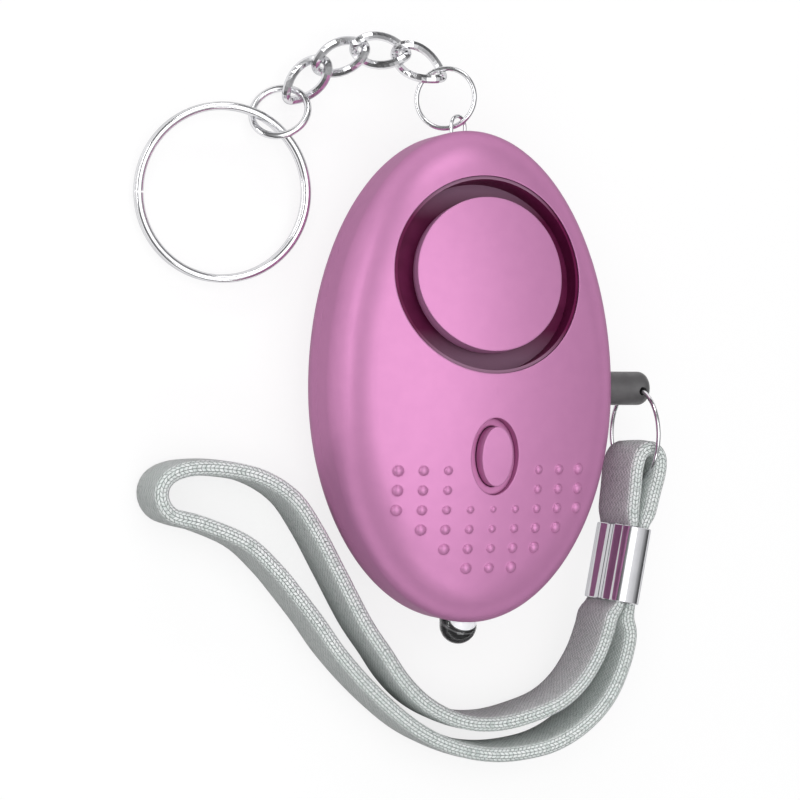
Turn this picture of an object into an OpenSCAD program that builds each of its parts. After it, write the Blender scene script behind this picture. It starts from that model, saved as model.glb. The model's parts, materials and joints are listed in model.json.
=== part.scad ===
// Personal safety alarm: egg-shaped siren and torch with a pull pin,
// a wrist strap and a key-ring chain.
// It lies on its back: +Z is the front face, +Y runs to the chain, +X to the pin.

/* [Housing] */
// Width of the egg at its widest section
body_w = 40; // [38:0.5:44]
// Plan length from the widest section to the chain end
body_top = 34; // [33:0.5:38]
// Plan length from the widest section to the lamp end
body_bottom = 31; // [30:0.5:35]
// Depth of the rear shell, up to the parting plane
rear_depth = 11.5; // [11:0.25:13]
// Depth of the front shell, above the parting plane
front_depth = 13.2; // [12.8:0.1:14]
// Wall thickness of both shells
wall = 1.6; // [1.4:0.1:2]
// Radius between the flank and the face
front_shoulder_r = 7; // [6:0.25:8]
// Radius between the flank and the back
rear_shoulder_r = 9.5; // [8.5:0.25:10]
// Radius of the domed front face
front_dome_r = 44; // [42:1:80]
// Radius of the nearly flat back
rear_dome_r = 120; // [100:5:160]
// Depth cut off the back as a flat to rest on
rest_cut = 0.4; // [0.3:0.05:0.6]

/* [Sounder] */
// Distance of the sounder from the widest section
ring_y = 14.8; // [14:0.2:16]
// Radius of the raised disc
disc_r = 10.1; // [9.5:0.1:10.8]
// Outer radius of the groove round the disc
groove_r = 12.95; // [12.5:0.05:13.4]
// Depth of the groove below the face
groove_depth = 4.8; // [4.4:0.1:5]
// Thickness of the grille floor
grille_t = 1; // [0.8:0.1:1.4]
// Number of sound slots in the groove floor
slot_count = 8; // [6:1:12]
// Thickness of the brass piezo plate
piezo_t = 0.5; // [0.3:0.1:0.8]
// Radius of the brass piezo plate
piezo_r = 11.4; // [11:0.1:11.8]

/* [Button] */
// Distance of the torch button from the widest section
button_y = 8.9; // [8:0.1:10]
// Width of the oval button
button_w = 4.3; // [3.8:0.1:4.8]
// Length of the oval button
button_l = 7.7; // [7.2:0.1:8.2]
// Height of the button above the face
button_proud = 0.8; // [0.6:0.05:1]
// Bare recess between the button and the face
recess_gap = 1.15; // [0.9:0.05:1.4]
// Depth of the recess
recess_depth = 1.4; // [1.2:0.1:1.8]
// Travel of the button
button_travel = 0.6; // [0.4:0.1:0.8]

/* [Grip dots] */
// Distance of the first row of dots from the widest section
dot_y = 10.65; // [10:0.05:12]
// Distance between rows
dot_row = 2.54; // [2.4:0.02:2.8]
// Distance between columns
dot_col = 3.15; // [2.8:0.05:3.3]
// Radius of the smallest dot
dot_r = 0.42; // [0.35:0.01:0.5]
// Growth of the dot radius per step outwards
dot_growth = 0.085; // [0.05:0.005:0.1]

/* [Pull pin] */
// Diameter of the pin
pin_d = 4.6; // [4:0.1:5]
// Length of the pin outside the housing
pin_out = 7.9; // [7:0.1:9]
// Length of the pin inside the housing
pin_in = 11.6; // [11:0.1:12]
// Distance of the ring hole from the outer end
pin_hole_inset = 1.7; // [1.6:0.1:2.2]
// Outer diameter of the split ring on the pin
pin_ring_d = 13.2; // [12.6:0.1:13.6]
// Wire of the split ring on the pin
pin_ring_wire = 0.6; // [0.5:0.05:0.7]

/* [Strap] */
// Width of the webbing
strap_w = 10; // [9:0.25:10.5]
// Thickness of the webbing
strap_t = 2.3; // [2:0.1:2.4]
// Length of the crimped ferrule
ferrule_l = 10.4; // [9:0.1:11]
// Sheet thickness of the ferrule
ferrule_wall = 0.4; // [0.3:0.05:0.5]
// Inside thickness of the ferrule, over both strands
ferrule_gap = 3.3; // [3.2:0.1:3.6]

/* [Chain] */
// Wire of the staple on the housing
staple_wire = 0.5; // [0.4:0.05:0.6]
// Width of the staple between its legs
staple_w = 2.8; // [2.6:0.1:3.2]
// Height of the staple above the housing
staple_h = 2.6; // [2.4:0.1:2.8]
// Outer diameter of the ring on the staple
top_ring_d = 8.7; // [8:0.1:9.4]
// Wire of the ring on the staple
top_ring_wire = 0.65; // [0.55:0.05:0.7]
// Pitch of the curb links
link_pitch = 5.6; // [5.2:0.1:6]
// Wire of the curb links
link_wire = 1.2; // [1:0.05:1.3]
// Outer width of a curb link
link_w = 5.1; // [4.8:0.1:5.6]
// Outer diameter of the ring before the key ring
end_ring_d = 8.6; // [8:0.1:9.2]
// Wire of the ring before the key ring
end_ring_wire = 0.95; // [0.8:0.05:1]
// Outer diameter of the key ring
key_ring_d = 24; // [22:0.1:28]
// Wire of the key ring
key_ring_wire = 1.1; // [0.9:0.05:1.2]

/* [Inside] */
// Diameter of the lamp
led_d = 5; // [4.6:0.1:5.2]
// Length of the lamp outside the housing
led_out = 3.2; // [2.8:0.1:3.6]
// Diameter of a button cell
cell_d = 11.6; // [11:0.1:11.8]
// Thickness of a button cell
cell_t = 5.4; // [5:0.1:5.6]
// Number of button cells
cell_count = 3; // [2:1:3]
// Thickness of the circuit board
board_t = 1.2; // [1:0.1:1.6]
// Height of the circuit board above the parting plane
board_up = 2.7; // [2.6:0.05:2.9]
// Radius of a housing screw's shank
screw_r = 0.95; // [0.8:0.05:1.1]
// Angle that the contact leaf swings through
leaf_swing = 8; // [5:0.5:9]

/* [Clearances] */
// Sliding clearance round the pin and the button
slide_gap = 0.1; // [0.05:0.01:0.15]
// Gap between pieces that are seated on each other
seat_gap = 0.05; // [0.02:0.01:0.08]
// Play between two links of the chain
link_play = 0.4; // [0.3:0.05:0.5]

/* [Hidden] */
$fn = 64;
far = 60;
half_w = body_w / 2;
zp = rear_depth;

shell_pink = "orchid";
steel = "silver";
webbing = "lightgray";

// Egg surface: a revolved dome and shoulder, stretched to an ellipse each way from y = 0.
function shoulder_z(depth, dome, sr) =
  depth - dome + sqrt(pow(dome - sr, 2) - pow(half_w - sr, 2));
function tangent_x(inset, dome, sr) = (half_w - sr) * (dome - inset) / (dome - sr);
function plan_r(x, y) =
  half_w * norm([x / half_w, y / (y > 0 ? body_top : body_bottom)]);
function face_z(x, y) =
  plan_r(x, y) < tangent_x(0, front_dome_r, front_shoulder_r)
  ? front_depth - front_dome_r + sqrt(pow(front_dome_r, 2) - pow(plan_r(x, y), 2))
  : shoulder_z(front_depth, front_dome_r, front_shoulder_r)
    + sqrt(pow(front_shoulder_r, 2) - pow(plan_r(x, y) - half_w + front_shoulder_r, 2));

module egg_profile(inset, depth, dome, sr) {
  sz = shoulder_z(depth, dome, sr);
  intersection() {
    translate([0, depth - dome]) circle(dome - inset, $fn = 180);
    square([tangent_x(inset, dome, sr), depth]);
  }
  intersection() {
    translate([half_w - sr, sz]) circle(sr - inset, $fn = 96);
    translate([half_w - sr, 0]) square([sr, depth]);
  }
  square([half_w - inset, sz]);
}

module egg_dome(inset, depth, dome, sr) {
  for (end = [[0, body_top], [180, body_bottom]])
    scale([1, (end[1] - inset) / (half_w - inset), 1])
      rotate([0, 0, end[0]])
        rotate_extrude(angle = 180, $fn = 96) egg_profile(inset, depth, dome, sr);
}

module front_egg(inset) {
  translate([0, 0, zp]) egg_dome(inset, front_depth, front_dome_r, front_shoulder_r);
}

module rear_egg(inset) {
  translate([0, 0, zp]) mirror([0, 0, 1])
    egg_dome(inset, rear_depth + rest_cut, rear_dome_r, rear_shoulder_r);
}

module oval(w, l, z0, z1) {
  translate([0, 0, z0]) scale([1, l / w, 1]) cylinder(d = w, h = z1 - z0);
}

module tube(r_out, r_in, z0, z1) {
  translate([0, 0, z0]) difference() {
    cylinder(r = r_out, h = z1 - z0);
    translate([0, 0, -1]) cylinder(r = r_in, h = z1 - z0 + 2);
  }
}

module rod_x(r, x0, x1) {
  translate([x0, 0, 0]) rotate([0, 90, 0]) cylinder(r = r, h = x1 - x0);
}

module rod_y(r, y0, y1) {
  translate([0, y0, 0]) rotate([-90, 0, 0]) cylinder(r = r, h = y1 - y0);
}

module torus(d_out, wire) {
  rotate_extrude($fn = 96) translate([(d_out - wire) / 2, 0]) circle(d = wire, $fn = 24);
}

// Sounder: its frame lies on the face, square to it.
ring_slope = plan_r(0, ring_y) / sqrt(pow(front_dome_r, 2) - pow(plan_r(0, ring_y), 2));
ring_tilt = atan(ring_slope * half_w / body_top);
grille_z = -groove_depth - grille_t;
flange_r = groove_r + 1.1;
flange_t = 0.8;
rim_drop = 0.3;
lining_t = 0.4;
outlet_gap = 1.8;
cap_wall = 0.9;
cap_seat = outlet_gap + 0.3;
boss_r = disc_r - 3.2;

module on_sounder() {
  translate([0, ring_y, zp + face_z(0, ring_y)]) rotate([-ring_tilt, 0, 0]) children();
}

// Button stack, from the face down to the switch.
button_face = zp + face_z(0, -button_y);
button_slope = plan_r(0, -button_y) / sqrt(pow(front_dome_r, 2) - pow(plan_r(0, -button_y), 2));
button_tilt = atan(button_slope * half_w / body_bottom);
button_dome_r = 50;
recess_floor = button_face - recess_depth;
boss_floor = recess_floor - wall;
flange_top = boss_floor - seat_gap;
board_z = zp + board_up;
board_top = board_z + board_t;
plunger_top = flange_top - 1;
switch_h = 4;
switch_w = 6;
pad_w = 0.8;
plunger_r = 1.6;
plunger_h = 1.8;

module on_button() {
  translate([0, -button_y, 0]) children();
}

// Grip dots: rows of [first column, last column, columns left out at the middle].
dot_rows = [[4, 2], [4, 2], [4, 0], [3, 0], [2, 0], [1, 0]];

module dot(i, j) {
  x = i * dot_col;
  y = -dot_y - j * dot_row;
  r = dot_r + dot_growth * (abs(i) + max(0, j - 2));
  translate([x, y, zp + face_z(x, y) - r / 3]) sphere(r, $fn = 24);
}

module grip_dots() {
  for (j = [0:len(dot_rows) - 1], i = [-dot_rows[j][0]:dot_rows[j][0]])
    if (abs(i) >= dot_rows[j][1]) dot(i, j);
}

// Screws from the back: one at the chain end and one on each side of the lamp.
side_screw = [body_w * 0.29, -body_bottom / 2];
screw_spots = [[0, body_top - 6.7], side_screw, [-side_screw[0], side_screw[1]]];
screw_boss_r = screw_r + 1.45;
screw_head_r = screw_r + 0.7;
screw_head_h = 1.2;
screw_sink = 3.2;
screw_up = 2.4;
screw_play = 0.15;

module at_screws() {
  for (spot = screw_spots) translate([spot[0], spot[1], 0]) children();
}

// Pin, lamp and staple all lie on the parting plane.
pin_r = pin_d / 2;
pin_end = half_w + pin_out;
pin_tip = half_w - pin_in;
guide_in = half_w - 7;
guide_wall = 1.4;
led_r = led_d / 2;
led_dome_y = -body_bottom - led_out + led_r;
led_seat = 4.4;
led_lip = 0.4;
led_flange_y = -body_bottom + led_seat;
led_flange_t = 1;
led_flange_r = led_r + led_lip;
lead_x = 1.27;
lead_r = 0.25;
lead_bend_y = led_flange_y + led_flange_t + 2.6;
staple_turn = 28;
staple_play = 0.08;
staple_anchor = wall + 0.6;
top_rib_w = staple_w * cos(staple_turn) - 2 * (staple_wire + staple_play);

module pin_way(r) {
  translate([0, 0, zp]) rod_x(r, guide_in, half_w + 1);
}

module pin_guide() {
  translate([0, 0, zp]) rod_x(pin_r + slide_gap + guide_wall, guide_in, half_w);
}

module lamp_way() {
  translate([0, 0, zp]) rod_y(led_r + slide_gap, -body_bottom - 1, led_flange_y);
}

module lamp_guide() {
  translate([0, 0, zp]) rod_y(led_r + slide_gap + 1.1, -body_bottom, led_flange_y - seat_gap);
}

module on_staple() {
  translate([0, body_top, zp]) rotate([0, staple_turn, 0]) children();
}

module staple_legs(r) {
  on_staple() for (side = [-1, 1])
    translate([side * staple_w / 2, 0, 0]) rod_y(r, -staple_anchor, staple_h - (staple_w + staple_wire) / 2);
}

module front_shell() {
  color(shell_pink) difference() {
    union() {
      difference() {
        front_egg(0);
        front_egg(wall);
      }
      intersection() {
        front_egg(wall / 2);
        union() {
          on_sounder() tube(flange_r, groove_r + seat_gap, grille_z + flange_t + seat_gap, 0);
          on_button() oval(button_w + 2 * recess_gap + 2, button_l + 2 * recess_gap + 2, boss_floor, far);
          pin_guide();
          lamp_guide();
          at_screws() translate([0, 0, zp]) cylinder(r = screw_boss_r, h = screw_up + 0.5);
          translate([-top_rib_w / 2, screw_spots[0][1], zp]) cube([top_rib_w, body_top, screw_up]);
          for (spot = [screw_spots[1], screw_spots[2]])
            translate([spot[0] - (spot[0] < 0 ? half_w : 0), spot[1] - 0.8, zp])
              cube([half_w, 1.6, screw_up]);
        }
      }
      grip_dots();
    }
    on_sounder() translate([0, 0, grille_z]) cylinder(r = groove_r + seat_gap, h = far);
    on_button() oval(button_w + 2 * recess_gap, button_l + 2 * recess_gap, recess_floor, far);
    on_button() oval(button_w + 2 * slide_gap, button_l + 2 * slide_gap, zp, far);
    pin_way(pin_r + slide_gap);
    lamp_way();
    staple_legs(staple_wire / 2 + staple_play);
    at_screws() translate([0, 0, zp - 1]) cylinder(r = screw_r + seat_gap, h = screw_up + 1);
  }
}

cradle_y = ring_y - 1.2;
cradle_z = 2.4;
rib_root = 1;
rib_l = 12;
rib_t = 1.2;
rib_spread = 4;
post_spots = [[7.4, -20.5], [-7.4, -20.5], [-7.4, 1.5]];
post_r = 1.5;

module rear_shell() {
  color(shell_pink) difference() {
    union() {
      difference() {
        rear_egg(0);
        rear_egg(wall);
      }
      intersection() {
        rear_egg(wall / 2);
        union() {
          pin_guide();
          lamp_guide();
          at_screws() cylinder(r = screw_boss_r, h = zp);
          for (side = [-1, 1]) translate([-rib_l / 2, cradle_y + rib_spread * side - rib_t / 2, rib_root])
            cube([rib_l, rib_t, cradle_z - rib_root]);
          for (spot = post_spots) translate([spot[0], spot[1], rib_root]) cylinder(r = post_r, h = far);
        }
      }
      for (spot = post_spots) translate([spot[0], spot[1], zp - 2]) cylinder(r = post_r, h = board_up + 2);
    }
    translate([-far, -far, -far]) cube([2 * far, 2 * far, far]);
    pin_way(pin_r + slide_gap);
    lamp_way();
    staple_legs(staple_wire / 2 + staple_play);
    at_screws() cylinder(r = screw_r + screw_play, h = far);
    at_screws() translate([0, 0, -1])
      cylinder(r = screw_head_r + screw_play, h = screw_sink + screw_head_h + 1);
  }
}

module housing_screws() {
  color(steel) at_screws() difference() {
    union() {
      translate([0, 0, screw_sink]) cylinder(r = screw_head_r, h = screw_head_h);
      translate([0, 0, screw_sink]) cylinder(r = screw_r, h = zp + screw_up - 0.4 - screw_sink);
    }
    for (turn = [0, 90]) rotate([0, 0, turn]) translate([-1.1, -0.2, 0]) cube([2.2, 0.4, screw_sink + 0.6]);
  }
}

// Dark channel under the face; its slots lie under the disc and let the sound out below its rim.
module sounder_grille() {
  slot_in = boss_r + 0.4;
  slot_out = disc_r - cap_wall - 0.3;
  slot_turn = 360 / slot_count;
  color([0.16, 0.05, 0.12]) {
    on_sounder() difference() {
      union() {
        translate([0, 0, grille_z]) cylinder(r = groove_r, h = grille_t);
        translate([0, 0, grille_z]) cylinder(r = boss_r, h = grille_t + cap_seat);
      }
      for (k = [0:slot_count - 1])
        rotate([0, 0, k * slot_turn]) translate([0, 0, grille_z - 2]) rotate_extrude(angle = slot_turn * 0.7)
          translate([slot_in, 0]) square([slot_out - slot_in, 4]);
    }
    intersection() {
      front_egg(wall + seat_gap);
      on_sounder() tube(flange_r - 0.2, piezo_r - 0.7, grille_z - flange_t, grille_z + flange_t);
    }
    intersection() {
      front_egg(rim_drop);
      on_sounder() tube(groove_r, groove_r - lining_t, grille_z, 4);
    }
  }
}

// Raised disc: it sits on the boss of the grille, and its skirt stops short of the groove floor.
module sounder_cap() {
  color(shell_pink) intersection() {
    front_egg(0);
    on_sounder() difference() {
      translate([0, 0, outlet_gap - groove_depth]) cylinder(r = disc_r, h = far);
      translate([0, 0, -far]) cylinder(r = disc_r - cap_wall, h = far - groove_depth + cap_seat + seat_gap);
    }
  }
}

module piezo_disc() {
  color("goldenrod") on_sounder() {
    translate([0, 0, grille_z - flange_t - piezo_t]) cylinder(r = piezo_r, h = piezo_t);
    translate([0, 0, grille_z - flange_t - piezo_t - 0.3]) cylinder(r = piezo_r * 0.7, h = 0.4);
  }
}

module torch_button() {
  flange_l = button_l + 1.6;
  color(shell_pink) on_button() {
    intersection() {
      oval(button_w, button_l, flange_top - 0.4, far);
      translate([0, button_dome_r * sin(button_tilt), button_face + button_proud - button_dome_r * cos(button_tilt)])
        sphere(button_dome_r, $fn = 180);
    }
    oval(button_w + 1.6, flange_l, flange_top - 0.8, flange_top);
    translate([0, 0, plunger_top + seat_gap])
      cylinder(r = plunger_r, h = flange_top - 0.6 - plunger_top);
  }
}

module switch_plunger() {
  color("dimgray") on_button() translate([0, 0, plunger_top - plunger_h])
    cylinder(r = plunger_r, h = plunger_h);
}

module tact_switch() {
  color("black") on_button() difference() {
    translate([-switch_w / 2, -switch_w / 2, board_top]) cube([switch_w, switch_w, switch_h]);
    translate([0, 0, plunger_top - plunger_h - button_travel - 0.2])
      cylinder(r = plunger_r + slide_gap, h = switch_h);
  }
  color(steel) on_button() for (sx = [-1, 1], sy = [-1, 1])
    translate([sx * (switch_w + pad_w) / 2 - pad_w / 2, sy * switch_w / 3 - pad_w / 2, board_top])
      cube([pad_w, pad_w, 0.5]);
}

board_half = half_w / 2 + 0.5;
board_back = -body_bottom + 8;
board_front = 7;

module circuit_board() {
  color("darkgreen") difference() {
    translate([-board_half, board_back, board_z]) cube([2 * board_half, board_front - board_back, board_t]);
    at_screws() translate([0, 0, zp]) cylinder(r = screw_boss_r + 0.4, h = far);
    for (side = [-1, 1]) translate([side * lead_x, lead_bend_y, zp]) cylinder(r = lead_r + 0.1, h = far);
  }
}

module boost_coil() {
  color("saddlebrown") translate([-4, -6, board_z - 4.2]) {
    tube(2.4, 1, 0.6, 3.6);
    cylinder(r = 2.9, h = 0.6);
    translate([0, 0, 3.6]) cylinder(r = 2.9, h = 0.6);
    cylinder(r = 1, h = 4.2);
  }
}

module driver_chip() {
  color("black") translate([-2.5, 0.2, board_top]) cube([5, 4, 1.5]);
  color(steel) for (i = [0:3], side = [0, 1])
    translate([-2.2 + i * 1.27, side == 0 ? -0.8 : 4.2, board_top]) cube([0.45, 1, 0.4]);
}

module led_lamp() {
  color([0.9, 0.9, 0.95, 0.6]) translate([0, 0, zp]) {
    rod_y(led_r, led_dome_y, led_flange_y);
    translate([0, led_dome_y, 0]) sphere(led_r);
    rod_y(led_flange_r, led_flange_y, led_flange_y + led_flange_t);
  }
}

module led_leads() {
  lead_back = led_flange_y + led_flange_t;
  color(steel) for (side = [-1, 1]) translate([side * lead_x, 0, zp]) {
    rod_y(lead_r, lead_back, lead_bend_y);
    translate([0, lead_bend_y, 0]) sphere(lead_r);
    translate([0, lead_bend_y, 0]) cylinder(r = lead_r, h = board_up + board_t + 0.6);
  }
}

cell_pitch = cell_t + seat_gap;
cell_r = cell_d / 2;
stack_half = cell_count * cell_pitch / 2;
contact_room = 0.9;
cradle_half = stack_half + contact_room;
cradle_wall = 0.8;
cell_z = cradle_z + cradle_wall + cell_r + slide_gap;
contact_t = 0.3;
contact_w = 5;
contact_h = 10;
contact_low = 4;
finger_w = 1.2;
finger_spread = 1.3;
finger_l = 3.4;

module at_cells() {
  translate([0, cradle_y, cell_z]) children();
}

module battery_cradle() {
  cradle_x = cradle_half + cradle_wall;
  cradle_d = cell_r + cradle_wall;
  color("dimgray") difference() {
    intersection() {
      rear_egg(wall + slide_gap);
      translate([-cradle_x, cradle_y - cradle_d, cradle_z])
        cube([2 * cradle_x, 2 * cradle_d, cell_z - cradle_z]);
    }
    at_cells() rod_x(cell_r + slide_gap, -cradle_half, cradle_half);
  }
}

module button_cells() {
  color(steel) at_cells() for (k = [0:cell_count - 1])
    translate([(k + 0.5) * cell_pitch - stack_half, 0, 0]) rod_x(cell_r, -cell_t / 2, cell_t / 2);
}

module battery_contact() {
  color("goldenrod") at_cells()
    translate([stack_half + contact_room - contact_t - seat_gap, -contact_w / 2, -contact_low])
      cube([contact_t, contact_w, contact_h]);
  color("goldenrod") at_cells() rod_x(1.6, stack_half + seat_gap, stack_half + contact_room - contact_t);
}

module battery_spring() {
  color("goldenrod") at_cells() {
    translate([-cradle_half + seat_gap, -contact_w / 2, -contact_low])
      cube([contact_t, contact_w, contact_h]);
    for (tip = [-1, 1]) bow_finger(tip);
  }
}

// Bowed finger of the spring, pressing on the last cell.
module bow_finger(tip) {
  bow = contact_room - seat_gap * 2;
  translate([-cradle_half + seat_gap, tip * finger_spread, 0]) rotate([90, 0, 0])
    linear_extrude(finger_w, center = true)
      polygon([[0, -finger_l], [contact_t, -finger_l], [bow, 0],
               [contact_t, finger_l], [0, finger_l], [bow - contact_t, 0]]);
}

// Pin switch: the pin holds the leaf off the fixed contact until it is pulled.
leaf_t = 0.3;
leaf_x = pin_tip - seat_gap - leaf_t / 2;
leaf_y = 5;
leaf_z0 = zp - 1.9;
leaf_z1 = board_z - 0.5;
barrel_r = 0.6;
leaf_reach = 10;
leaf_close = leaf_reach * sin(leaf_swing);

module switch_base() {
  color("black") difference() {
    translate([leaf_x - 1.7, leaf_y - 0.8, leaf_z0 - 0.8]) cube([3.6, 2.6, board_z - leaf_z0 + 0.8]);
    translate([leaf_x, leaf_y, leaf_z0 - 0.2])
      cylinder(r = barrel_r + slide_gap, h = leaf_z1 - leaf_z0 + 0.4);
    translate([leaf_x - 0.5, leaf_y - 2, leaf_z0 - 0.2]) cube([1.1, 2, leaf_z1 - leaf_z0 + 0.4]);
  }
}

module switch_leaf() {
  color("goldenrod") {
    translate([leaf_x, leaf_y, leaf_z0]) cylinder(r = barrel_r, h = leaf_z1 - leaf_z0);
    translate([leaf_x - leaf_t / 2, leaf_y - leaf_reach, leaf_z0])
      cube([leaf_t, leaf_reach, leaf_z1 - leaf_z0]);
  }
}

module fixed_contact() {
  contact_x = leaf_x + leaf_t / 2 + leaf_close + 0.2;
  color("goldenrod")
    translate([contact_x, leaf_y - leaf_reach, leaf_z0]) cube([leaf_t, 2.4, board_z - leaf_z0]);
}

// The split ring threads the pin's hole and hangs towards the strap.
pin_hole_x = pin_end - pin_hole_inset;
pin_ring_r = (pin_ring_d - pin_ring_wire) / 2;
pin_ring_turn = 4.5;
hole_play = 0.25;

module on_pin_ring() {
  translate([pin_hole_x, -pin_ring_r, zp]) rotate([0, 90 + pin_ring_turn, 0]) children();
}

module pull_pin() {
  nose = 1.4;
  color([0.28, 0.28, 0.28]) difference() {
    translate([0, 0, zp]) {
      rod_x(pin_r, pin_tip, pin_end - nose);
      translate([pin_end - nose, 0, 0]) rotate([0, 90, 0]) rotate_extrude() {
        square([pin_r - nose, nose]);
        intersection() {
          translate([pin_r - nose, 0]) circle(nose);
          square([pin_r, nose]);
        }
      }
    }
    on_pin_ring() torus(pin_ring_d + 2 * hole_play, pin_ring_wire + 2 * hole_play);
  }
}

module pin_ring() {
  color(steel) on_pin_ring() difference() {
    torus(pin_ring_d, pin_ring_wire);
    rotate([0, 0, 30]) translate([0, 0, -1]) cube([pin_ring_d, 0.12, 2]);
  }
}

// Strap: a flat band swept along points, each [x, y, z], with a thickness there.
function band_side(route, i) =
  let (a = route[max(i - 1, 0)], b = route[min(i + 1, len(route) - 1)], d = b - a)
  [d[1], -d[0], 0] / norm([d[0], d[1]]);
function band_ring(p, side, t, w) =
  let (h = t / 2, e = w / 2, r = t * 0.42, k = r * 0.3)
  [for (q = [[h, e - r], [h - k, e - k], [h - r, e], [r - h, e], [k - h, e - k], [-h, e - r],
             [-h, r - e], [k - h, k - e], [r - h, -e], [h - r, -e], [h - k, k - e], [h, r - e]])
    p + side * q[0] + [0, 0, q[1]]];

module band(route, thick, w) {
  n = len(route);
  s = 12;
  rings = [for (i = [0:n - 1]) each band_ring(route[i], band_side(route, i), thick[i], w)];
  sides = [for (i = [0:n - 2], k = [0:s - 1])
    each [[i * s + k, i * s + (k + 1) % s, (i + 1) * s + k],
          [i * s + (k + 1) % s, (i + 1) * s + (k + 1) % s, (i + 1) * s + k]]];
  ends = [for (k = [1:s - 2]) each [[0, k + 1, k], [(n - 1) * s, (n - 1) * s + k, (n - 1) * s + k + 1]]];
  polyhedron(points = rings, faces = concat(sides, ends));
}

// The fold over the split ring, in the strap's own frame: x across, y along, z its width.
strap_lean = -11;
fold_depth = 2.8;
fold_x = pin_hole_x + 0.15;
fold_y = fold_depth - 2 * pin_ring_r;
ferrule_top = -9.2;
ferrule_low = ferrule_top - ferrule_l;
ferrule_lead = 0.3;
squeeze_t = ferrule_gap / 2 - 2 * seat_gap;
fold_t = [for (k = [0:16]) (k > 1 && k < 4) || (k > 12 && k < 15) ? squeeze_t : strap_t];
fold_route = [
  [-1.2, ferrule_low - 1.3, 0], [-1.2, ferrule_low - 0.9, 0], [-0.82, ferrule_low - ferrule_lead, 0],
  [-0.82, ferrule_top + ferrule_lead, 0], [-1.6, -7, 0], [-2, -4, 0],
  [-1.95, -1, 0], [-1.4, 0.9, 0], [0, 1.7, 0], [1.4, 0.9, 0], [1.95, -1, 0], [2, -4, 0],
  [1.6, -7, 0], [0.82, ferrule_top + ferrule_lead, 0],
  [0.82, ferrule_low - ferrule_lead, 0], [1.2, ferrule_low - 0.9, 0], [1.2, ferrule_low - 1.3, 0]
];

module on_strap() {
  translate([fold_x, fold_y, zp]) rotate([0, 0, strap_lean]) children();
}

module strap_fold() {
  color(webbing) on_strap() band(fold_route, fold_t, strap_w);
}

module rounded_bar(w, t, r, l) {
  rotate([90, 0, 0]) linear_extrude(l) {
    for (sx = [-1, 1], sy = [-1, 1]) translate([sx * (w / 2 - r), sy * (t / 2 - r)]) circle(r);
    square([w, t - 2 * r], center = true);
    square([w - 2 * r, t], center = true);
  }
}

module strap_ferrule() {
  in_t = ferrule_gap;
  in_w = strap_w + 2 * slide_gap;
  round_r = 1.2;
  color(steel) on_strap() translate([0, ferrule_top, 0]) difference() {
    rounded_bar(in_t + 2 * ferrule_wall, in_w + 2 * ferrule_wall, round_r + ferrule_wall, ferrule_l);
    translate([0, 1, 0]) rounded_bar(in_t, in_w, round_r * 0.5, ferrule_l + 2);
    translate([-far, -far, -0.1]) cube([far, 2 * far, 0.2]);
  }
}

// The wrist loop stands on edge on the table and comes back to the ferrule.
strap_route = [
  [20.95, -30.8, 10.9], [20.6, -33, 10.3], [19.7, -36.5, 9.2], [17.8, -40.2, 7.9], [15, -42.8, 7],
  [11, -44.4, 6.3], [7, -45.3, 5.7], [3, -45.2, 5.3], [-0.5, -44.1, 5.1], [-4, -42, 5.1],
  [-7, -39, 5.1], [-9.5, -35.4, 5.1], [-12.4, -31.2, 5.1], [-16, -24.6, 5.1], [-19.2, -18.8, 5.1],
  [-22.4, -14.4, 5.1], [-27, -11.6, 5.1], [-32.5, -10.5, 5.1], [-37, -10.6, 5.1], [-39.7, -11.9, 5.1],
  [-40.4, -14.2, 5.1], [-38.9, -16.5, 5.1], [-34.5, -17.8, 5.1], [-28.8, -20.3, 5.1], [-24.8, -23.9, 5.1],
  [-22, -27.2, 5.1], [-19, -31, 5.1], [-16.2, -34.9, 5.1], [-12.8, -38.8, 5.1], [-9.2, -42.3, 5.1],
  [-5.4, -45.4, 5.1], [-1.5, -47.6, 5.1], [2.5, -49, 5.1], [6.5, -49.6, 5.3], [10.5, -49.4, 5.7],
  [14.5, -48.5, 6.2], [18, -46.6, 6.8], [20.7, -44, 7.6], [22.5, -41, 8.4], [23.7, -37, 9.4],
  [24, -33.5, 10.3], [23.3, -31.2, 10.9]
];

module wrist_strap() {
  color(webbing) band(strap_route, [for (p = strap_route) strap_t], strap_w);
}

// Chain: every piece starts where the one before it ends, at [heading, drop] in degrees.
function aim(heading, drop) =
  [cos(heading) * cos(drop), sin(heading) * cos(drop), -sin(drop)];

link_headings = [148, 174, 205, 227];
landing_z = 2.75;
top_aim = [110, 17.4];
top_roll = -34;
end_aim = [231.5, -6.2];
end_roll = 41;
key_aim = [235, 4.2];
key_rise = 5;
ring_slack = 0.3;
link_twist = -52;
top_r = (top_ring_d - top_ring_wire) / 2;
end_r = (end_ring_d - end_ring_wire) / 2;
key_r = (key_ring_d - key_ring_wire) / 2;
key_seat = 1.9;
staple_eye = [0, body_top + 1.2, zp];
top_end = staple_eye + 2 * top_r * aim(top_aim[0], top_aim[1]);
link_drop = asin((top_end[2] + 0.2 - landing_z) / (len(link_headings) * link_pitch));
knot_0 = top_end - (top_ring_wire / 2 + ring_slack) * aim(link_headings[0], link_drop);
function knot(k) = k == 0 ? knot_0 : knot(k - 1) + link_pitch * aim(link_headings[k - 1], link_drop);
end_centre = knot(4) - (end_ring_wire / 2 + ring_slack) * aim(link_headings[3], link_drop)
  + end_r * aim(end_aim[0], end_aim[1]);
key_centre = end_centre + (key_r + key_seat) * aim(key_aim[0], key_aim[1]);

module chain_staple() {
  color(steel) {
    staple_legs(staple_wire / 2);
    on_staple() translate([0, staple_h - (staple_w + staple_wire) / 2, 0])
      rotate_extrude(angle = 180) translate([staple_w / 2, 0]) circle(d = staple_wire, $fn = 24);
    on_staple() for (side = [-1, 1])
      translate([side * staple_w / 2, -staple_anchor, 0]) sphere(staple_wire);
  }
}

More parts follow.
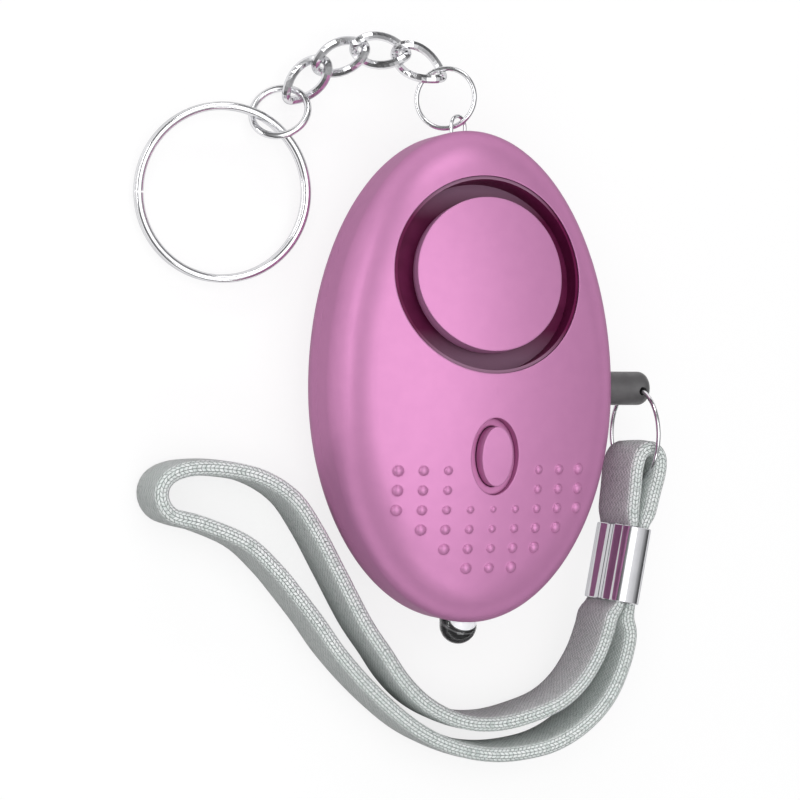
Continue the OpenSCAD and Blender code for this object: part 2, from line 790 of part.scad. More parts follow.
module top_ring() {
  color(steel) translate(staple_eye + top_r * aim(top_aim[0], top_aim[1]))
    rotate([top_roll, top_aim[1], top_aim[0]]) torus(top_ring_d, top_ring_wire);
}

// Curb link: an oval twisted about its length, so that it lies flat between its neighbours.
link_half = (link_pitch + link_wire + link_play) / 2;
link_side = (link_w - link_wire) / 2;
link_steps = 36;
link_sides = 8;
function rounded(t) = sign(t) * pow(abs(t), 0.84);
function link_point(t) =
  let (x = link_half * rounded(cos(t)), y = link_side * rounded(sin(t)), turn = link_twist * x / link_half)
  [x, y * cos(turn), y * sin(turn)];
function link_ring(i) =
  let (t = 360 * i / link_steps, p = link_point(t), d = link_point(t + 2) - link_point(t - 2),
       f = d / norm(d), n0 = cross(f, [0, 0, 1]), n = n0 / norm(n0), b = cross(n, f))
  [for (k = [0:link_sides - 1]) let (a = 360 * k / link_sides) p + (n * cos(a) + b * sin(a)) * link_wire / 2];

module curb_link(k) {
  s = link_sides;
  points = [for (i = [0:link_steps - 1]) each link_ring(i)];
  faces = [for (i = [0:link_steps - 1], j = [0:s - 1])
    let (i2 = (i + 1) % link_steps, j2 = (j + 1) % s)
    each [[i * s + j, i * s + j2, i2 * s + j], [i * s + j2, i2 * s + j2, i2 * s + j]]];
  color(steel) translate((knot(k) + knot(k + 1)) / 2) rotate([0, link_drop, link_headings[k]])
    polyhedron(points = points, faces = faces);
}

module chain_link_1() { curb_link(0); }
module chain_link_2() { curb_link(1); }
module chain_link_3() { curb_link(2); }
module chain_link_4() { curb_link(3); }

module end_ring() {
  color(steel) translate(end_centre)
    rotate([end_roll, end_aim[1], end_aim[0]]) torus(end_ring_d, end_ring_wire);
}

// Split ring: two turns of wire that touch, with a cut end on each face.
module key_ring() {
  cut = 0.25;
  color(steel) translate(key_centre) rotate([0, -key_rise, key_aim[0] - 180]) difference() {
    union() {
      for (side = [-1, 1])
        translate([0, 0, side * key_ring_wire * 0.49]) torus(key_ring_d, key_ring_wire);
    }
    for (side = [0, 1]) mirror([0, 0, side]) rotate([0, 0, 126 - 66 * side])
      translate([0, -cut / 2, 0.1]) cube([key_ring_d, cut, key_ring_wire * 2]);
  }
}

front_shell();
rear_shell();
sounder_grille();
sounder_cap();
piezo_disc();
torch_button();
switch_plunger();
tact_switch();
circuit_board();
boost_coil();
driver_chip();
led_lamp();
led_leads();
battery_cradle();
button_cells();
battery_contact();
battery_spring();
switch_base();
fixed_contact();
switch_leaf();
pull_pin();
pin_ring();
strap_ferrule();
strap_fold();
wrist_strap();
housing_screws();
chain_staple();
top_ring();
chain_link_1();
chain_link_2();
chain_link_3();
chain_link_4();
end_ring();
key_ring();
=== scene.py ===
import bpy
import bmesh
import json
import math
from mathutils import Matrix, Vector


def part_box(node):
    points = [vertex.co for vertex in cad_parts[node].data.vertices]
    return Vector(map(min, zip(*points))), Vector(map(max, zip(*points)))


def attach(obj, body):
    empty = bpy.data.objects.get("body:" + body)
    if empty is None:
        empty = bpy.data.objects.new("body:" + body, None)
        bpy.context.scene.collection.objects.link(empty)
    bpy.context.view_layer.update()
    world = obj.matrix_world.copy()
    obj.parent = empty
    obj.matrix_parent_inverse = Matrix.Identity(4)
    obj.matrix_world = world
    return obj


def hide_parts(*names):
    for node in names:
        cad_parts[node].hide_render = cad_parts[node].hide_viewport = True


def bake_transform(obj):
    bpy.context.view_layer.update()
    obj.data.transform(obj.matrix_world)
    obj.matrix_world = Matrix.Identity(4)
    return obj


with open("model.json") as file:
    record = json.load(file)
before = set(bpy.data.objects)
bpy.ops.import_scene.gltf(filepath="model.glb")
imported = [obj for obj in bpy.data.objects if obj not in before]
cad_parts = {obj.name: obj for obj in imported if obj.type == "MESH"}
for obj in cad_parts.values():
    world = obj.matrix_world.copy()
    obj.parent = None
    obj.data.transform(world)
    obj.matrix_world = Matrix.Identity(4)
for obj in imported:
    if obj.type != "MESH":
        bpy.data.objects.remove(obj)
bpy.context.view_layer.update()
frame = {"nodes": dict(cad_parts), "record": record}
scene = bpy.context.scene
MM = 0.001

# Camera: the photograph's angle, tilted 21 degrees from straight above towards -X.
CAMERA_TILT = math.radians(21)
CAMERA_AT = (-0.13181, -0.0016, 0.33323)
CAMERA_LENS = 117
CAMERA_SENSOR = 36
CAMERA_NEAR = 0.01

cam_data = bpy.data.cameras.new("camera")
cam_data.sensor_width = CAMERA_SENSOR
cam_data.lens = CAMERA_LENS
cam_data.clip_start = CAMERA_NEAR
camera = bpy.data.objects.new("camera", cam_data)
scene.collection.objects.link(camera)
right = Vector((math.cos(CAMERA_TILT), 0, math.sin(CAMERA_TILT)))
back = Vector((-math.sin(CAMERA_TILT), 0, math.cos(CAMERA_TILT)))
turn = Matrix((right, Vector((0, 1, 0)), back)).transposed().to_4x4()
camera.matrix_world = Matrix.Translation(CAMERA_AT) @ turn
scene.camera = camera


def new_object(name, bm, smooth=True):
    """Object made from a bmesh, which is freed, and linked to the scene."""
    mesh = bpy.data.meshes.new(name)
    bm.to_mesh(mesh)
    bm.free()
    for face in mesh.polygons:
        face.use_smooth = smooth
    obj = bpy.data.objects.new(name, mesh)
    scene.collection.objects.link(obj)
    return obj


def spline(points, step):
    """Closely spaced points on a smooth curve through the given ones."""
    out = []
    n = len(points)
    for i in range(n - 1):
        p0, p1, p2, p3 = (points[max(0, min(n - 1, i + k))] for k in (-1, 0, 1, 2))
        count = max(2, int((p2 - p1).length / step))
        for k in range(count):
            t = k / count
            out.append(0.5 * ((2 * p1) + (p2 - p0) * t + (2 * p0 - 5 * p1 + 4 * p2 - p3) * t * t
                              + (3 * p1 - p0 - 3 * p2 + p3) * t * t * t))
    out.append(points[-1].copy())
    return out


def arc(cx, cy, radius, degrees):
    """Points on a circle at the given angles."""
    angles = [math.radians(a) for a in degrees]
    return [(cx + radius * math.cos(a), cy + radius * math.sin(a)) for a in angles]


def share(value):
    """The value held between 0 and 1."""
    return max(0.0, min(1.0, value))


# All sizes from here to the materials are in millimetres.
# The fold's own frame: its middle lies at the pin's ring, and its strands run down along -Y.
FOLD_AT = Vector((26.35, -9.8, 11.5))
FOLD_TURN = Matrix.Rotation(math.radians(-11), 4, "Z")


def fold_point(x, y, z=0):
    return FOLD_TURN @ Vector((x, y, z)) + FOLD_AT


# Ferrule: a plate bent round both strands, with its open seam and two rolled ridges facing the housing.
FERRULE_TOP, FERRULE_LOW = -9.2, -19.6
FERRULE_X, FERRULE_WALL, FERRULE_ROUND, FERRULE_BEVEL = 2.05, 0.4, 1.6, 0.12
SEAM = 0.1
RIDGE_H, RIDGE_W, RIDGE_FADE = 0.52, 3.2, 0.5
RIDGES = (-2.3, 2.3)
SIDE_STEPS, CORNER_STEPS = 32, 8
SHARP_EDGE = math.radians(35)

# Strap: one band from inside the ferrule, round the wrist loop, back up through the ferrule,
# over the pin's ring and down into the ferrule again.
STRAP_W, STRAP_T = 10.0, 2.3
CROWN_ROOM = 0.28
LOOSE_T = STRAP_T - CROWN_ROOM
PINCHED_T, PINCHED_LESS_W = 1.3, 0.1
PINCH_X, PINCH_Z, PINCH_FADE = 3, -2, 2
EDGE_ROUND, CROWN, CROWN_REACH, CROWN_MID = 0.86, 0.06, 0.75, 0.4
STRAND_X = 0.82
INNER_Y, OUTER_Y, HOME_Y = (-13.5, -16.5, -19.8), (-19.8, -16.5, -13, -9.0), (-9.0, -11, -13.2)
ROUTE_STEP = 0.5
PATH_EVERY = 3
OVER = [(1.25, -7), (1.5, -4), (1.72, -1.2), (1.35, 0.8), (0, 1.65), (-1.35, 0.8), (-1.72, -1.2),
        (-1.5, -4), (-1.25, -7)]
LOOP = [(20.95, -30.8, 10.9), (20.6, -33, 10.3), (19.7, -36.5, 9.2), (17.8, -40.2, 7.9), (15, -42.8, 7),
        (11, -44.4, 6.3), (7, -45.3, 5.7), (3, -45.2, 5.3), (-0.5, -44.1, 5.1), (-4, -42, 5.1),
        (-7, -39, 5.1), (-9.5, -35.4, 5.1), (-12.4, -31.2, 5.1), (-16, -24.6, 5.1), (-19.2, -18.8, 5.1),
        (-22.4, -14.4, 5.1), (-27, -11.6, 5.1), (-32.5, -10.5, 5.1), (-37, -10.6, 5.1), (-39.7, -11.9, 5.1),
        (-40.4, -14.2, 5.1), (-38.9, -16.5, 5.1), (-34.5, -17.8, 5.1), (-28.8, -20.3, 5.1),
        (-24.8, -23.9, 5.1), (-22, -27.2, 5.1), (-19, -31, 5.1), (-16.2, -34.9, 5.1), (-12.8, -38.8, 5.1),
        (-9.2, -42.3, 5.1), (-5.4, -45.4, 5.1), (-1.5, -47.6, 5.1), (2.5, -49, 5.1), (6.5, -49.6, 5.3),
        (10.5, -49.4, 5.7), (14.5, -48.5, 6.2), (18, -46.6, 6.8), (20.7, -44, 7.6), (22.5, -41, 8.4),
        (23.7, -37, 9.4), (24, -33.5, 10.3), (23.3, -31.2, 10.9)]


def strap_route():
    inner = [fold_point(-STRAND_X, y) for y in INNER_Y]
    loop = [Vector(p) for p in LOOP]
    outer = [fold_point(STRAND_X, y) for y in OUTER_Y]
    over = [fold_point(x, y) for x, y in OVER]
    home = [fold_point(-STRAND_X, y) for y in HOME_Y]
    return inner + loop + outer + over + home


def squeeze_at(point):
    """How far the ferrule squeezes the strap at a point, from 0 to 1."""
    local = FOLD_TURN.inverted() @ (point - FOLD_AT)
    if abs(local.x) >= PINCH_X or local.z <= PINCH_Z:
        return 0.0
    from_below = share((local.y - FERRULE_LOW + PINCH_FADE) / PINCH_FADE)
    from_above = share((FERRULE_TOP + PINCH_FADE - local.y) / PINCH_FADE)
    return from_below * from_above


def band_half(t, w):
    """Right half of the strap's section, from the middle of its upper edge to that of its lower one."""
    h, e = t / 2, w / 2
    r = h * EDGE_ROUND
    upper = arc(h - r, e - r, r, range(90, 0, -15))
    heights = (CROWN_REACH, CROWN_MID, 0.0, -CROWN_MID, -CROWN_REACH)
    face = [(h + CROWN * (1 - (z / CROWN_REACH) ** 2) * t, z * (e - r)) for z in heights]
    lower = [(x, -z) for x, z in reversed(upper)]
    return [(0.0, e)] + upper + face + lower + [(0.0, -e)]


def strap_section(squeeze):
    """Whole outline of the strap's section, and how far each point lies from its upper edge."""
    half = band_half(LOOSE_T + (PINCHED_T - LOOSE_T) * squeeze, STRAP_W - PINCHED_LESS_W * squeeze)
    outline = half + [(-x, z) for x, z in reversed(half[1:-1])]
    gone = [0.0]
    for (xa, za), (xb, zb) in zip(half, half[1:]):
        gone.append(gone[-1] + math.hypot(xb - xa, zb - za))
    return outline, gone + gone[-2:0:-1]


def strap_object():
    """The strap with UVs along and across its weave, the path of its middle line, and that path's length."""
    route = spline(strap_route(), ROUTE_STEP)
    last = len(route) - 1
    bm = bmesh.new()
    uv = bm.loops.layers.uv.new("weave")
    rings = []
    run = 0.0
    for i, p in enumerate(route):
        if i:
            run += (p - route[i - 1]).length
        ahead = route[min(i + 1, last)] - route[max(i - 1, 0)]
        side = Vector((ahead.y, -ahead.x, 0)).normalized()
        outline, across = strap_section(squeeze_at(p))
        verts = [bm.verts.new((p + side * x + Vector((0, 0, z))) * MM) for x, z in outline]
        rings.append((verts, [(run, v) for v in across]))
    for (va, ua), (vb, ub) in zip(rings, rings[1:]):
        for k in range(len(va)):
            j = (k + 1) % len(va)
            face = bm.faces.new((va[k], vb[k], vb[j], va[j]))
            for loop, at in zip(face.loops, (ua[k], ub[k], ub[j], ua[j])):
                loop[uv].uv = at
    bm.faces.new(list(reversed(rings[0][0])))
    bm.faces.new(rings[-1][0])
    bmesh.ops.recalc_face_normals(bm, faces=bm.faces)
    obj = new_object("strap_webbing", bm)
    path = [p * MM for p in route[:-2:PATH_EVERY]] + [route[-1] * MM]
    length = sum((b - a).length for a, b in zip(path, path[1:]))
    return obj, path, length


def ridge_at(at, flat):
    """Height of the ridges at a place on the open side, as a share of a whole ridge."""
    fade = min(1.0, (flat - abs(at)) / RIDGE_FADE)
    near = [at - mid for mid in RIDGES if abs(at - mid) < RIDGE_W / 2]
    return fade * sum(0.5 + 0.5 * math.cos(math.tau * off / RIDGE_W) for off in near)


def ferrule_section(shrink, round_r, ridge):
    """Outline of the bent plate, from the seam's upper lip round to its lower one."""
    low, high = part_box("strap_ferrule")
    x, z = FERRULE_X - shrink, (high[2] - low[2]) / 2 / MM - shrink
    flat = z - round_r
    rise = [SEAM + (flat - SEAM) * k / SIDE_STEPS for k in range(SIDE_STEPS + 1)]
    upper = [(-x - ridge * ridge_at(at, flat), at) for at in rise]
    lower = [(px, -pz) for px, pz in reversed(upper)]
    centres = ((round_r - x, flat, 180), (x - round_r, flat, 90), (x - round_r, -flat, 0),
               (round_r - x, -flat, -90))
    corners = []
    for cx, cz, start in centres:
        corners += arc(cx, cz, round_r, [start - 90 * k / CORNER_STEPS for k in range(CORNER_STEPS + 1)])
    return upper + corners[1:-1] + lower


def ferrule_object():
    """The bent plate, open along its seam, with its end edges eased."""
    outer = ferrule_section(0, FERRULE_ROUND, RIDGE_H)
    eased = ferrule_section(FERRULE_BEVEL, FERRULE_ROUND - FERRULE_BEVEL, RIDGE_H)
    inner = ferrule_section(FERRULE_WALL, FERRULE_ROUND / 2, 0)
    rows = [(inner, FERRULE_TOP), (eased, FERRULE_TOP), (outer, FERRULE_TOP - FERRULE_BEVEL),
            (outer, FERRULE_LOW + FERRULE_BEVEL), (eased, FERRULE_LOW), (inner, FERRULE_LOW)]
    bm = bmesh.new()
    rings = [[bm.verts.new(fold_point(x, y, z) * MM) for x, z in section] for section, y in rows]
    for ra, rb in zip(rings, rings[1:] + rings[:1]):
        for k in range(len(ra) - 1):
            bm.faces.new((ra[k], rb[k], rb[k + 1], ra[k + 1]))
    bm.faces.new([ring[0] for ring in reversed(rings)])
    bm.faces.new([ring[-1] for ring in rings])
    bmesh.ops.recalc_face_normals(bm, faces=bm.faces)
    obj = new_object("ferrule_plate", bm)
    obj.data.set_sharp_from_angle(angle=SHARP_EDGE)
    return obj


# Lamp's inside, a little smaller than the lens: a rounded back, a straight wall and a dome. It carries the
# painted highlight and painted shade that show through the lens.
CORE_AXIS_Z = 11.5
CORE_R, CORE_DOME_Y = 2.2, -31.7
CORE_BACK = [(0, -29.5), (1.6, -29.5), (2.05, -29.9), (2.2, -30.5)]
CORE_ROUND = 36
CORE_DOME_STEPS = 12


def core_object():
    """The lamp's inside, turned round its axis."""
    dome = [-90 * k / CORE_DOME_STEPS for k in range(CORE_DOME_STEPS)]
    profile = CORE_BACK + arc(0, CORE_DOME_Y, CORE_R, dome) + [(0, CORE_DOME_Y - CORE_R)]
    bm = bmesh.new()
    rings = []
    for r, y in profile:
        places = arc(0, CORE_AXIS_Z, r, [360 * k / CORE_ROUND for k in range(CORE_ROUND if r else 1)])
        rings.append([bm.verts.new((x * MM, y * MM, z * MM)) for x, z in places])
    for ra, rb in zip(rings, rings[1:]):
        for k in range(CORE_ROUND):
            j = (k + 1) % CORE_ROUND
            corners = [ra[k % len(ra)], ra[j % len(ra)], rb[j % len(rb)], rb[k % len(rb)]]
            bm.faces.new(list(dict.fromkeys(corners)))
    bmesh.ops.recalc_face_normals(bm, faces=bm.faces)
    return new_object("lamp_core", bm)


# Materials. The Mix node has several sockets of one name, so its colours go by number.
MIX_A, MIX_B, MIX_OUT = 6, 7, 2
BLACK, WHITE = (0, 0, 0), (1, 1, 1)


def grey(value):
    return (value, value, value)


def material(name):
    mat = bpy.data.materials.new(name)
    mat.use_nodes = True
    tree = mat.node_tree
    return mat, tree, tree.nodes["Principled BSDF"]


def link(tree, a, out, b, inp):
    tree.links.new(a.outputs[out], b.inputs[inp])


def add(tree, kind, **values):
    """New node, with each value set on the input of that name or else on the node itself."""
    node = tree.nodes.new(kind)
    for key, value in values.items():
        if key in node.inputs:
            node.inputs[key].default_value = value
        else:
            setattr(node, key, value)
    return node


def calc(tree, operation, source, out, second=None, kind="ShaderNodeMath"):
    """Maths node on one output, with an optional constant as its second number."""
    node = add(tree, kind, operation=operation)
    link(tree, source, out, node, 0)
    if second is not None:
        node.inputs[1].default_value = second
    return node


def multiplied(tree, base, out, over, amount):
    """A colour times another one, by the given amount."""
    mix = add(tree, "ShaderNodeMix", data_type="RGBA", blend_type="MULTIPLY")
    mix.inputs["Factor"].default_value = amount
    link(tree, base, out, mix, MIX_A)
    link(tree, over, "Color", mix, MIX_B)
    return mix


def noise(tree, place, out, scale, detail):
    node = add(tree, "ShaderNodeTexNoise", Scale=scale, Detail=detail)
    link(tree, place, out, node, "Vector")
    return node


def ramp(tree, source, out, stops):
    node = add(tree, "ShaderNodeValToRGB")
    elements = node.color_ramp.elements
    while len(elements) < len(stops):
        elements.new(0.5)
    for element, (at, colour) in zip(elements, stops):
        element.position = at
        element.color = (*colour, 1)
    link(tree, source, out, node, "Fac")
    return node


def bump(tree, shader, height, out, strength, distance):
    node = add(tree, "ShaderNodeBump", Strength=strength, Distance=distance)
    link(tree, height, out, node, "Height")
    link(tree, node, "Normal", shader, "Normal")
    return node


DRIFT_SHARE = 0.2
GRAIN_DEPTH = 0.00005
# How far the painted shade in corners and creases reaches, in metres.
CORNER_SHADE_REACH = 0.0005


def grained(name, low, high, metallic, rough, scale, bump_strength=0.05,
            edge=0.0, rim=None, corner_shade_colour=None, level=0.5):
    """Solid finish with slow colour drift, a varied gloss and a fine moulded grain.

    edge rounds sharp corners by that radius, rim is a metal's colour near its outline,
    and the corner colour, if given, multiplies the colour in corners and creases as painted shade."""
    mat, tree, shader = material(name)
    place = add(tree, "ShaderNodeTexCoord")
    drift = noise(tree, place, "Object", scale * DRIFT_SHARE, 3.0)
    grain = noise(tree, place, "Object", scale, 4.0)
    colour, out = ramp(tree, drift, "Fac", [(0.35, low), (0.65, high)]), "Color"
    if corner_shade_colour:
        # Painted shade: where nearby surfaces hem a point in, as in corners, creases and round the dots'
        # bases, the colour is darkened.
        corner = add(tree, "ShaderNodeAmbientOcclusion", samples=8, Distance=CORNER_SHADE_REACH)
        painted_corner_shade = ramp(tree, corner, "AO", [(0.45, corner_shade_colour), (0.8, WHITE)])
        colour, out = multiplied(tree, colour, out, painted_corner_shade, 1.0), MIX_OUT
    link(tree, colour, out, shader, "Base Color")
    gloss = ramp(tree, grain, "Fac", [(0.3, grey(rough[0])), (0.7, grey(rough[1]))])
    link(tree, gloss, "Color", shader, "Roughness")
    shader.inputs["Metallic"].default_value = metallic
    shader.inputs["Specular IOR Level"].default_value = level
    if rim:
        shader.inputs["Specular Tint"].default_value = (*rim, 1)
    fine = bump(tree, shader, grain, "Fac", bump_strength, GRAIN_DEPTH)
    if edge:
        round_off = add(tree, "ShaderNodeBevel", samples=6, Radius=edge)
        link(tree, round_off, "Normal", fine, "Normal")
    return mat


# Painted light in the channel: its middle height and reach in metres, and the lighter colour painted on the
# floor near its upper and lower ends.
CHANNEL_MID_Y, CHANNEL_REACH = 0.0148, 0.013
CHANNEL_PAINTED_LIGHT = (0.32, 0.17, 0.26, 1)


def channel_lining():
    """Sounder channel: maroon, with a lighter grey-purple painted on its upward faces near its upper and
    lower ends as painted light and reflection.
    """
    mat = grained("groove_plum", (0.13, 0.01, 0.057), (0.165, 0.015, 0.075), 0.0, (0.4, 0.55), 1800,
                  level=0.12)
    tree = mat.node_tree
    shader = tree.nodes["Principled BSDF"]
    wall = shader.inputs["Base Color"].links[0].from_socket
    place = add(tree, "ShaderNodeTexCoord")
    facing = add(tree, "ShaderNodeSeparateXYZ")
    link(tree, place, "Normal", facing, "Vector")
    upward_faces = ramp(tree, facing, "Z", [(0.6, BLACK), (0.9, WHITE)])
    where = add(tree, "ShaderNodeSeparateXYZ")
    link(tree, place, "Object", where, "Vector")
    off = calc(tree, "SUBTRACT", where, "Y", CHANNEL_MID_Y)
    apart = calc(tree, "ABSOLUTE", off, "Value")
    span = calc(tree, "DIVIDE", apart, "Value", CHANNEL_REACH)
    lit_ends = ramp(tree, span, "Value", [(0.55, BLACK), (0.85, WHITE)])
    painted_light_mask = calc(tree, "MULTIPLY", upward_faces, "Color")
    link(tree, lit_ends, "Color", painted_light_mask, 1)
    # Painted light: the lighter colour goes on the upward faces near the channel's upper and lower ends.
    mix = add(tree, "ShaderNodeMix", data_type="RGBA")
    mix.inputs[MIX_B].default_value = CHANNEL_PAINTED_LIGHT
    link(tree, painted_light_mask, "Value", mix, "Factor")
    tree.links.new(wall, mix.inputs[MIX_A])
    link(tree, mix, MIX_OUT, shader, "Base Color")
    return mat


# Braid: the yarn's sizes are in millimetres on the strap's UVs, and the relief's depth is in metres.
YARN_ROW, YARN_LENGTH, YARN_GAP, YARN_LEAN = 0.45, 0.6, 0.065, 0.65
YARN_LIGHT, YARN_DULL, YARN_SHADE = (0.95, 0.985, 0.97, 1), (0.86, 0.92, 0.895, 1), (0.14, 0.18, 0.165, 1)
FUZZ_SCALE, FUZZ_AMOUNT, FUZZ_DARK = 1.9, 0.7, (0.58, 0.62, 0.6)
WEAVE_STRENGTH, WEAVE_DEPTH = 0.7, 0.00018


def webbing():
    """Braid: rows of short yarn floats that lean to and fro, with dark gaps between them and a loose fuzz."""
    mat, tree, shader = material("webbing")
    place = add(tree, "ShaderNodeUVMap", uv_map="weave")
    split = add(tree, "ShaderNodeSeparateXYZ")
    link(tree, place, "UV", split, "Vector")
    zigzag = calc(tree, "PINGPONG", split, "Y", YARN_ROW)
    lean = calc(tree, "MULTIPLY_ADD", zigzag, "Value", YARN_LEAN)
    link(tree, split, "X", lean, 2)
    at = add(tree, "ShaderNodeCombineXYZ")
    link(tree, lean, "Value", at, "X")
    link(tree, split, "Y", at, "Y")
    yarn = add(tree, "ShaderNodeTexBrick", offset=0.5, squash=1.0)
    yarn.inputs["Scale"].default_value = 1.0
    yarn.inputs["Brick Width"].default_value = YARN_LENGTH
    yarn.inputs["Row Height"].default_value = YARN_ROW
    yarn.inputs["Mortar Size"].default_value = YARN_GAP
    yarn.inputs["Mortar Smooth"].default_value = 1.0
    yarn.inputs["Color1"].default_value = YARN_LIGHT
    yarn.inputs["Color2"].default_value = YARN_DULL
    yarn.inputs["Mortar"].default_value = YARN_SHADE
    link(tree, at, "Vector", yarn, "Vector")
    fuzz = noise(tree, at, "Vector", FUZZ_SCALE, 4.0)
    loose = ramp(tree, fuzz, "Fac", [(0.34, FUZZ_DARK), (0.5, WHITE)])
    mix = multiplied(tree, yarn, "Color", loose, FUZZ_AMOUNT)
    link(tree, mix, MIX_OUT, shader, "Base Color")
    shader.inputs["Roughness"].default_value = 0.85
    shader.inputs["Specular IOR Level"].default_value = 0.25
    shader.inputs["Sheen Weight"].default_value = 0.4
    shader.inputs["Sheen Roughness"].default_value = 0.5
    height = calc(tree, "SUBTRACT", fuzz, "Fac")
    link(tree, yarn, "Fac", height, 1)
    bump(tree, shader, height, "Value", WEAVE_STRENGTH, WEAVE_DEPTH)
    return mat


def clear_lamp():
    """Clear lens with a faint haze."""
    mat, tree, shader = material("clear_lamp")
    shader.inputs["Base Color"].default_value = (0.96, 0.97, 1.0, 1)
    shader.inputs["Transmission Weight"].default_value = 1.0
    shader.inputs["IOR"].default_value = 1.5
    haze = noise(tree, add(tree, "ShaderNodeTexCoord"), "Object", 900.0, 2.0)
    gloss = ramp(tree, haze, "Fac", [(0.3, grey(0.02)), (0.7, grey(0.07))])
    link(tree, gloss, "Color", shader, "Roughness")
    return mat


# Painted highlight and painted shade inside the lens: the white patch's middle in metres, how its reach is
# scaled to an oval, and its shades from the middle outwards, through black and dark grey rings of painted
# shade.
HIGHLIGHT_AT, HIGHLIGHT_SCALE, HIGHLIGHT_REACH = (0.0003, -0.0309, 0), (800, 1200, 0), 2.5
PAINTED_DARK = grey(0.012)
PAINTED_HIGHLIGHT_RINGS = [(0.6, (0.9, 0.91, 0.91)), (0.64, grey(0.1)), (0.68, PAINTED_DARK), (0.78, PAINTED_DARK), (0.84, grey(0.12)), (0.9, PAINTED_DARK)]
PAINTED_GLOW = 0.55


def core_painted_light():
    """What shows inside the lens: a white patch that is a painted highlight and glows with painted light,
    ringed by black painted shade.
    """
    mat, tree, shader = material("lamp_core")
    place = add(tree, "ShaderNodeTexCoord")
    off = calc(tree, "SUBTRACT", place, "Object", HIGHLIGHT_AT, "ShaderNodeVectorMath")
    oval = calc(tree, "MULTIPLY", off, "Vector", HIGHLIGHT_SCALE, "ShaderNodeVectorMath")
    far = calc(tree, "LENGTH", oval, "Vector", kind="ShaderNodeVectorMath")
    reach = calc(tree, "DIVIDE", far, "Value", HIGHLIGHT_REACH)
    painted_highlight = ramp(tree, reach, "Value", PAINTED_HIGHLIGHT_RINGS)
    link(tree, painted_highlight, "Color", shader, "Base Color")
    link(tree, painted_highlight, "Color", shader, "Emission Color")
    # Painted light: the white patch glows, though the lamp is not lit.
    shader.inputs["Emission Strength"].default_value = PAINTED_GLOW
    shader.inputs["Roughness"].default_value = 0.25
    return mat


FINISH = {
    # The pink shell's corner colour paints shade into its corners and creases.
    "shell_pink": grained("shell_pink", (0.692, 0.29, 0.547), (0.71, 0.3, 0.56), 0.34, (0.37, 0.43), 2600,
                          bump_strength=0.04, edge=0.0003, rim=(0.05, 0.0, 0.03),
                          corner_shade_colour=(0.3, 0.14, 0.24), level=0.06),
    "groove_plum": channel_lining(),
    "piezo_brass": grained("piezo_brass", (0.68, 0.48, 0.2), (0.78, 0.58, 0.28), 1.0, (0.25, 0.4), 1500),
    "black_plastic": grained("black_plastic", grey(0.02), grey(0.035), 0.0, (0.45, 0.6), 2500),
    "grey_plastic": grained("grey_plastic", grey(0.16), grey(0.22), 0.0, (0.5, 0.65), 2500),
    "board_green": grained("board_green", (0.02, 0.17, 0.06), (0.04, 0.22, 0.08), 0.0, (0.35, 0.5), 900),
    "coil_copper": grained("coil_copper", (0.5, 0.22, 0.1), (0.65, 0.32, 0.16), 1.0, (0.3, 0.45), 3000),
    "plated_steel": grained("plated_steel", (0.62, 0.62, 0.64), (0.74, 0.74, 0.76), 1.0, (0.2, 0.35), 2500),
    "pin_grey": grained("pin_grey", (0.115, 0.113, 0.115), (0.145, 0.143, 0.145), 0.2, (0.34, 0.5), 2200,
                        bump_strength=0.08),
    "chrome": grained("chrome", (0.76, 0.76, 0.775), (0.86, 0.86, 0.875), 1.0, (0.13, 0.2), 700,
                      bump_strength=0.02, rim=(0.5, 0.5, 0.51)),
    "webbing": webbing(),
    "clear_lamp": clear_lamp(),
}

for part in frame["record"]["subparts"]:
    obj = frame["nodes"][part["node"]]
    if len(obj.material_slots) == 0:
        obj.data.materials.append(None)
    for held in obj.material_slots:
        held.material = FINISH[part["material_slot"]]

core = core_object()
core.data.materials.append(core_painted_light())
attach(core, "housing")

ferrule = ferrule_object()
crimped = grained("crimped_plate", (0.66, 0.66, 0.68), (0.74, 0.74, 0.76), 1.0, (0.1, 0.18), 900,
                  bump_strength=0.02, rim=(0.6, 0.6, 0.62))
ferrule.data.materials.append(crimped)
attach(ferrule, "pull_pin")
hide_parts("strap_ferrule")

strap, strap_path, strap_length = strap_object()
strap.data.materials.append(FINISH["webbing"])
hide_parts("strap_fold", "wrist_strap")
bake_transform(strap)

# Studio, in metres: a white table, a broad soft lamp above, strips on three sides,
# and a sky that brightens upwards.
FLOOR_HALF, FLOOR_Z, FLOOR_GLOW = 20.0, -0.0001, 0.8
SKY = [(0.0, (0.03, 0.03, 0.031)), (0.45, (0.13, 0.13, 0.132)), (0.8, (0.4, 0.4, 0.405)),
       (0.93, (0.85, 0.85, 0.86))]
SKY_STRENGTH = 1.2
LAMP_AIM = Vector((0, 0, 0.01))


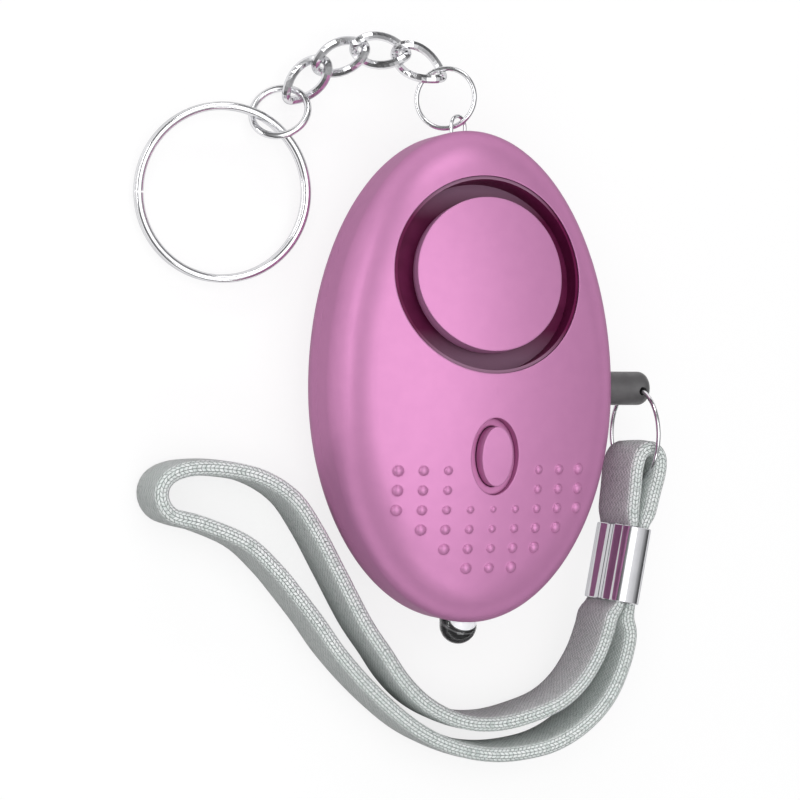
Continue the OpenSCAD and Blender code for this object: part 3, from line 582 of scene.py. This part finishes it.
def floor_finish():
    """Dull table that takes the object's shadow, and shows as white to the camera and in metal and glass."""
    mat, tree, shader = material("floor_white")
    shader.inputs["Base Color"].default_value = (*grey(0.22), 1)
    shader.inputs["Roughness"].default_value = 0.9
    shader.inputs["Specular IOR Level"].default_value = 0.1
    rays = add(tree, "ShaderNodeLightPath")
    seen = calc(tree, "MAXIMUM", rays, "Is Camera Ray")
    link(tree, rays, "Is Glossy Ray", seen, 1)
    shown = calc(tree, "MAXIMUM", seen, "Value")
    link(tree, rays, "Is Transmission Ray", shown, 1)
    white = calc(tree, "MULTIPLY", shown, "Value", FLOOR_GLOW)
    glow = add(tree, "ShaderNodeEmission")
    link(tree, white, "Value", glow, "Strength")
    both = add(tree, "ShaderNodeAddShader")
    link(tree, shader, "BSDF", both, 0)
    link(tree, glow, "Emission", both, 1)
    link(tree, both, "Shader", tree.nodes["Material Output"], "Surface")
    return mat


def lamp(name, at, size, size_y, power):
    data = bpy.data.lights.new(name, "AREA")
    data.shape = "RECTANGLE"
    data.size = size
    data.size_y = size_y
    data.energy = power
    obj = bpy.data.objects.new(name, data)
    scene.collection.objects.link(obj)
    obj.location = at
    obj.rotation_euler = (LAMP_AIM - Vector(at)).to_track_quat("-Z", "Y").to_euler()


bm = bmesh.new()
bmesh.ops.create_grid(bm, x_segments=1, y_segments=1, size=FLOOR_HALF)
floor = new_object("floor", bm, smooth=False)
floor.location = (0, 0, FLOOR_Z)
floor.data.materials.append(floor_finish())

world = bpy.data.worlds.new("studio")
scene.world = world
world.use_nodes = True
sky_tree = world.node_tree
background = sky_tree.nodes["Background"]
sky_place = add(sky_tree, "ShaderNodeTexCoord")
sky_split = add(sky_tree, "ShaderNodeSeparateXYZ")
link(sky_tree, sky_place, "Generated", sky_split, "Vector")
link(sky_tree, ramp(sky_tree, sky_split, "Z", SKY), "Color", background, "Color")
background.inputs["Strength"].default_value = SKY_STRENGTH

lamp("front", (-0.14, 0.04, 0.66), 0.7, 0.7, 1.65)
lamp("left", (-0.55, 0.14, 0.09), 0.5, 0.07, 0.65)
lamp("top", (-0.05, 0.54, 0.3), 0.42, 0.16, 0.75)
lamp("foot", (-0.02, -0.46, 0.38), 0.4, 0.14, 0.4)

scene.view_settings.view_transform = "Standard"
